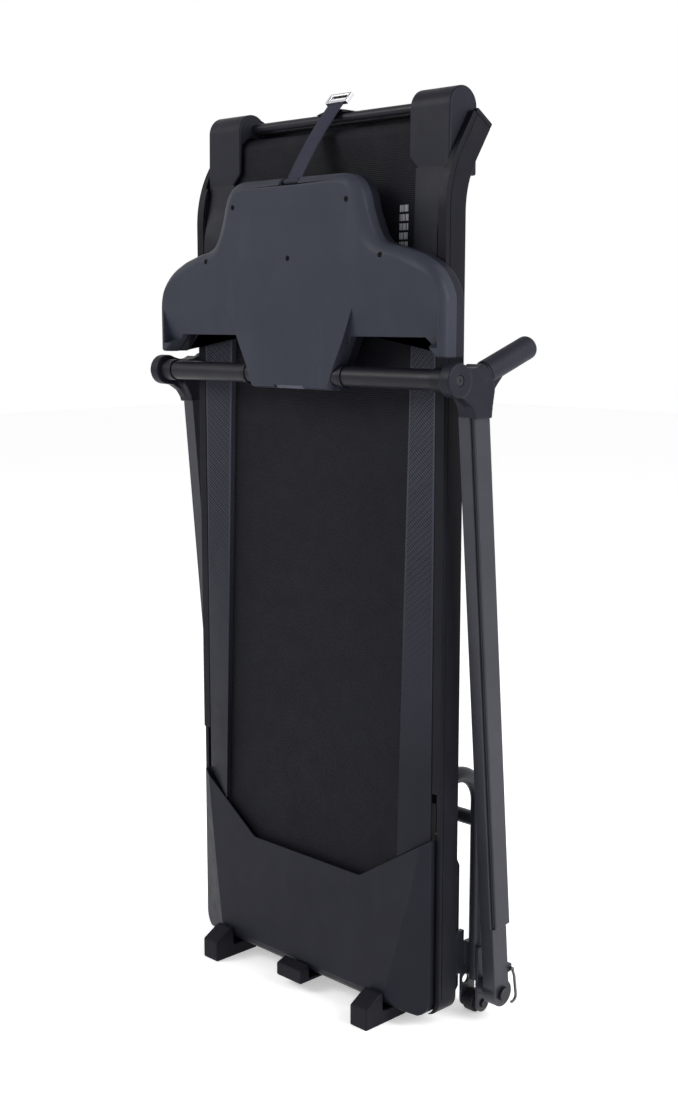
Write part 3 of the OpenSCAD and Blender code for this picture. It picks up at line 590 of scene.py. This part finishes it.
def console_back():
    """Back shell, with the strap's notch at the top and the clamp's at the bottom."""
    crease = math.sin(math.radians(CREASE))
    rings = [
        outline_ring((math.sin(a) - crease) / (1 - crease),
                     CONSOLE_Y + RIM * (1 - math.cos(a) / math.cos(math.radians(CREASE))))
        for a in sweep(CREASE, 90, 8)
    ]
    rings.append(outline_ring(1, SEAM_Y - SEAM_GAP))
    obj = piece("console_back_shell", loft("console_back_shell", rings), "console_back")
    strap_notch = box_mesh((-24, CONSOLE_Y + 1.6, 1453), (24, -60, 1480))
    clamp_notch = box_mesh((-36.2, -110, 1100), (36.2, -72, 1115))
    holes = [rod_mesh((x, CONSOLE_Y - 3, z), (x, CONSOLE_Y + 3, z), SCREW_HOLE, 32)
             for x, z in SCREWS]
    slants = [window_slant(side) for side in (-1, 1)]
    carved(obj, [tube_bore(), strap_notch, clamp_notch, *slants, *holes])
    eased(obj, 0.9, 2, 24)


def console_front():
    """Display side, with recesses for the display, buttons, rocker and key."""
    rings = [outline_ring(1, SEAM_Y + SEAM_GAP, INSET)]
    rings += [
        outline_ring(1, FACE_Y - EDGE_ROUND * (1 - math.sin(a)),
                     INSET + EDGE_ROUND * (1 - math.cos(a)))
        for a in sweep(0, 90, 5)
    ]
    obj = piece("console_front_shell", loft("console_front_shell", rings), "console_front")
    buttons = [rod_mesh((x, FACE_Y - 11, BUTTON_Z), (x, FACE_Y + 5, BUTTON_Z), BUTTON_HOLE)
               for x in (-BUTTON_X, BUTTON_X)]
    carved(obj, [tube_bore(), *(recess(*spot) for spot in RECESSES), *buttons])
    eased(obj, 0.9, 2, 30)


console_back()
console_front()


# Mast heads and grips --------------------------------------------------------------------

# Outlines (y, z) of the neck from the upright to the grip, of the web under the grip, and of
# the neck's front at its inner half and around the disc
NECK_BACK = [(-44, 1152), (-30, 1153), (-18, 1158), (4, 1142), (12, 1118), (9.5, 1104),
             (6.5, 1088), (4.9, 1070.5)]
NECK_FILLET = [(-10, 1146), (44, 1143), (34, 1133), (25, 1124.5), (17, 1115), (11.5, 1106),
               (8.4, 1098), (6, 1088), (-5, 1085)]
NECK_FRONT = [(-37, 1070.5), (-38, 1080), (-45, 1094), (-54, 1106), (-50, 1126)]
DISC_FRONT = [(-37, 1070.5), (-38, 1078), (-48, 1092), (-66, 1103), (-90, 1107.5), (-79, 1133),
              (-66, 1157.5), (-54, 1154)]
DISC_IN, DISC_OUT, DISC_R = 358, 380, 28
SCREW_SEAT = 9.3
# The grips' place in X, back end, radius, length, rise in degrees, and axis height at Y = 0
GRIP_X, GRIP_BACK, GRIP_R, GRIP_LENGTH, GRIP_RISE, GRIP_Z = 360, 125, 20, 128, 20, 1142
GRIP_TURN = Matrix.Rotation(math.radians(GRIP_RISE - 90), 4, "X")
GRIP_END_Y = GRIP_BACK - GRIP_R * math.sin(math.radians(GRIP_RISE))
GRIP_END = Vector((GRIP_X, GRIP_END_Y, GRIP_Z + math.tan(math.radians(GRIP_RISE)) * GRIP_END_Y))
# Distance along the sleeve and radius: a beaded collar, then the straight up to the round end
GRIP_ROUND, SLEEVE_R = 10, 19.9
SLEEVE = [(0, 17.6), (0.8, 18.6), (2.2, 18.8), (3.2, 17.6), (4.4, 17.6), (5.4, 19.2),
          (7.5, SLEEVE_R), (GRIP_LENGTH - GRIP_ROUND, SLEEVE_R)]
SLEEVE += [(GRIP_LENGTH - GRIP_ROUND * (1 - math.sin(a)), SLEEVE_R - GRIP_ROUND * (1 - math.cos(a)))
           for a in sweep(0, 90, 7)[1:]]


def on_grip(along, x=0.0, y=0.0):
    """A point of the grip's own frame, measured from its root."""
    return tuple(GRIP_END + GRIP_TURN @ Vector((x, y, along - GRIP_LENGTH)))


def head(name, side):
    """The disc, neck and grip's root, fused and smoothed into one casting."""
    mesh = joined([
        rod_mesh((DISC_IN, *TUBE), (DISC_OUT, *TUBE), DISC_R, 64),
        prism_mesh(NECK_FRONT + NECK_BACK, 340, 376),
        prism_mesh(DISC_FRONT + NECK_BACK, DISC_IN, 377),
        prism_mesh(NECK_FILLET, 350, 371),
        rod_mesh(on_grip(-22), on_grip(2), 18.5, 64),
    ])
    obj = piece("head_shell_" + name, handed(mesh, side), "head_" + name)
    remesh = obj.modifiers.new("remesh", "REMESH")
    remesh.mode = "VOXEL"
    remesh.voxel_size = 0.0015
    relax = obj.modifiers.new("relax", "SMOOTH")
    relax.iterations = 14
    obj.data = evaluated(obj)
    carved(obj, [rod_mesh((side * (DISC_OUT - 3), *TUBE), (side * (DISC_OUT + 5), *TUBE), SCREW_SEAT)])
    shade(obj, 50)


def grip(name, side):
    rings = [[on_grip(along, x, y) for x, y in circle(radius, 72)] for along, radius in SLEEVE]
    obj = piece("grip_sleeve_" + name, handed(loft("grip", rings), side), "grip_" + name)
    shade(obj, 30)


for name, side in SIDES:
    head(name, side)
for name, side in SIDES:
    grip(name, side)


# End caps ----------------------------------------------------------------------------------

CAP_IN, CAP_OUT, CAP_FOOT = 212, 300, 1460
# Middle (y, z) and radius of the cap's round top, and the roller's axis and pocket
CAP_TOP, CAP_R = (13.5, 1567), 33
ROLLER, ROLLER_POCKET = (12.5, 1531.65), 25
# Section (x, z) cut from the lower inner corner, which is chamfered above the rail
CORNER = [(205, 1450), (229.5, 1450), (229.5, 1473), (211.9, 1491), (205, 1491)]


def end_cap(name):
    """A cap over the deck's rear corner, hollow where the belt and roller pass."""
    y, z = CAP_TOP
    section = [(-20.9, CAP_FOOT)]
    section += [(y - CAP_R * math.cos(a), z + CAP_R * math.sin(a)) for a in sweep(0, 180, 40)]
    section.append((y + CAP_R, CAP_FOOT))
    obj = piece("end_cap_shell_" + name, prism_mesh(section, CAP_IN, CAP_OUT), "end_cap_" + name)
    spots = ((-58.5, CAP_FOOT), (-8.5, CAP_FOOT), (-8.5, 1533), (-58.5, 1533))
    belt_way = prism_mesh([(y + BELT_LEAN * z, z) for y, z in spots], 210, 226.9)
    pocket = rod_mesh((210, *ROLLER), (227, *ROLLER), ROLLER_POCKET)
    corner = loft("corner", [[(x, y, z) for x, z in CORNER] for y in (-40, 60)])
    carved(obj, [pocket, belt_way, corner])
    if name == "left":
        obj.data = flipped(obj.data)
    eased(obj, 3.2, 4, 40)


for name in ("left", "right"):
    end_cap(name)


# Pieces that keep the CAD's shape, with rounded edges -----------------------------------------

# Width of the rounding on each node's edges
ROUNDING = {
    "motor_cover": 4, "belly_pan": 3, "foot_rail_left": 1, "foot_rail_right": 1,
    "side_skirt_left": 1.2, "side_skirt_right": 1.2,
    "rear_foot_pads": 2, "rear_cross_bar": 0.8, "strap_anchor": 1.2, "front_feet": 3,
    "base_frame": 1, "wheel_left": 1, "wheel_right": 1, "base_bolts": 0.6,
    "upright_left": 1.5, "upright_right": 1.5, "upright_cover_left": 2.5,
    "upright_cover_right": 2.5, "head_screws": 0.5, "tube_collars": 0.8,
    "hinge_clamp": 0.8, "console_screws": 0.4, "display_lens": 0.4,
    "start_button": 0.8, "stop_button": 0.8, "speed_rocker": 0.8, "safety_key": 1,
    "strap": 0.6, "strap_clasp": 1.6, "release_hook": 0.9, "power_switch": 0.6,
    "switch_housing": 0.6, "power_inlet": 0.8, "deck_frame": 1.0, "motor_housing": 1.5,
}
# The cover's shallow facets are rounded too, and the skirts' nearly flat faces stay separate
UNLIKE = {
    "motor_cover": dict(angle=14, sharp=13),
    "side_skirt_left": dict(flat=0),
    "side_skirt_right": dict(flat=0),
}
shells = {node: softened(node, width, **UNLIKE.get(node, {})) for node, width in ROUNDING.items()}


# Ribs on the foot rails ------------------------------------------------------------------------

# Size of the ribbed sheet's squares, height of its ribs, its margin, and its depth in the rail
RIB_STEP, RIB_HEIGHT, RIB_MARGIN, RIB_SUNK = 1.3, 0.7, 3.5, 0.1
# Depth of the rail's outer edge along most of its length, how far it turns back to the end cap,
# and the heights between which it turns
EDGE_Y, EDGE_TURN, TURN_LOW, TURN_HIGH = -41, 20, 1360, 1473
RAIL_PROUD = 10


def bounded(value):
    return min(1.0, max(0.0, value))


def rail_depth(x, z):
    """Depth of the tread's surface, which twists towards its outer edge and bends to the end cap."""
    inner = BELT_FACE - RAIL_PROUD + BELT_LEAN * z
    t = bounded((z - TURN_LOW) / (TURN_HIGH - TURN_LOW))
    outer = EDGE_Y + EDGE_TURN * t * t * (3 - 2 * t)
    return inner + (outer - inner) * (x - RAIL_IN) / (RAIL_OUT - RAIL_IN)


def tread_ribs():
    """A sheet of small diamond ribs over the tread, fading out towards its lower end."""
    width, length = RAIL_OUT - RAIL_IN - 2 * RIB_MARGIN, TREAD_HIGH - TREAD_LOW
    columns, rows = int(width / RIB_STEP), int(length / RIB_STEP)
    verts = []
    for j in range(rows + 1):
        z = TREAD_LOW + length * j / rows
        fade = min(1.0, (z - TREAD_LOW) / 90, (TREAD_HIGH - z) / 4)
        for i in range(columns + 1):
            x = RAIL_IN + RIB_MARGIN + width * i / columns
            edge = min(1.0, i / 2, (columns - i) / 2)
            ridge = abs(((x * HATCH_LEAN + z) / HATCH) % 1.0 - 0.5)
            cross = abs(((x * HATCH_LEAN - z) / HATCH / 2) % 1.0 - 0.5)
            height = bounded((ridge - 0.1) / 0.3) * bounded((cross - 0.05) / 0.15)
            y = rail_depth(x, z) - RIB_HEIGHT * height * fade * edge + RIB_SUNK
            verts.append(mm(x, y, z))
    across = columns + 1
    corners = [j * across + i for j in range(rows) for i in range(columns)]
    mesh = bpy.data.meshes.new("ribs")
    mesh.from_pydata(verts, [], [(k, k + 1, k + 1 + across, k + across) for k in corners])
    return mesh


for name, side in SIDES:
    extended(shells["foot_rail_" + name], [handed(tread_ribs(), side)])

# Fillers at the bar's ends, which reach into the end caps and close a slit beside them
bar_end = box_mesh((209, 44, 1534), (216, 50, 1574))
extended(shells["rear_cross_bar"], [bar_end, flipped(bar_end)])


# Marks printed on the belt -------------------------------------------------------------------------


def belt_marks():
    """Five short blocks of plain bars near the belt's edge, lying on its surface."""
    bars = []
    for block in range(5):
        z = 1345 + 15 * block
        y = BELT_FACE + BELT_LEAN * z
        for bar in range(6):
            x = 186 + 3.4 * bar
            width = 2.2 if (bar + block) % 3 else 1.3
            bars.append(box_mesh((x, y - 0.12, z), (x + width, y + 0.3, z + 11)))
    piece("belt_marks", joined(bars), "running_belt", MATERIALS["belt_print"], replaces=False)


belt_marks()

# The CAD's own nodes take their finish, and those still shown keep their slot
for node, obj in NODES.items():
    obj.data.materials.clear()
    obj.data.materials.append(FINISH[node])


# Studio ------------------------------------------------------------------------------------


def area(name, place, target, size, power):
    """A rectangular light aimed at a point."""
    data = bpy.data.lights.new(name, "AREA")
    data.shape = "RECTANGLE"
    data.size, data.size_y = size
    data.energy = power
    obj = bpy.data.objects.new(name, data)
    scene.collection.objects.link(obj)
    obj.location = place
    obj.rotation_euler = (Vector(target) - Vector(place)).to_track_quat("-Z", "Y").to_euler()
    return obj


def sky():
    """White all round, and dimmer overhead so that faces that look up aren't too pale."""
    world = bpy.data.worlds.new("studio")
    world.use_nodes = True
    nodes, links = world.node_tree.nodes, world.node_tree.links
    place = nodes.new("ShaderNodeTexCoord")
    height = nodes.new("ShaderNodeSeparateXYZ")
    overhead = nodes.new("ShaderNodeMapRange")
    for name, value in (("From Min", 0.45), ("From Max", 0.95), ("To Min", 1.0), ("To Max", 0.25)):
        overhead.inputs[name].default_value = value
    links.new(place.outputs["Generated"], height.inputs["Vector"])
    links.new(height.outputs["Z"], overhead.inputs["Value"])
    links.new(overhead.outputs["Result"], nodes["Background"].inputs["Strength"])
    nodes["Background"].inputs["Color"].default_value = (1, 1, 1, 1)
    return world


def pale_floor():
    bpy.ops.mesh.primitive_plane_add(size=30)
    floor = bpy.context.object
    floor.name = "floor"
    g = Graph("studio_floor")
    g.shader.inputs["Emission Color"].default_value = (1, 1, 1, 1)
    g.shader.inputs["Emission Strength"].default_value = 0.4
    rough = g.remap(g.noise(3.0), 0.3, 0.7, 0.7, 0.8)
    floor.data.materials.append(g.finish(rgba((0.9, 0.9, 0.9)), rough, specular=0.0))
    return floor


scene.world = sky()
pale_floor()
area("key", (-2.2, -3.4, 3.4), (0, 0, 0.8), (2.2, 2.2), 108)
area("rim", (3.2, 0.6, 2.4), (0, 0, 0.9), (1.2, 2.6), 110)

# Camera at the photograph's angle: its place in metres, and its downward tilt and turn in degrees
CAMERA_PLACE, CAMERA_DOWN, CAMERA_TURN, CAMERA_LENS = (1.9367, -1.8796, 1.2329), 9.178, 45.447, 48.30
camera = bpy.data.objects.new("camera", bpy.data.cameras.new("camera"))
scene.collection.objects.link(camera)
scene.camera = camera
camera.location = CAMERA_PLACE
camera.rotation_euler = (math.radians(90 - CAMERA_DOWN), 0, math.radians(CAMERA_TURN))
camera.data.sensor_width = 36
camera.data.lens = CAMERA_LENS
scene.view_settings.view_transform = "Standard"
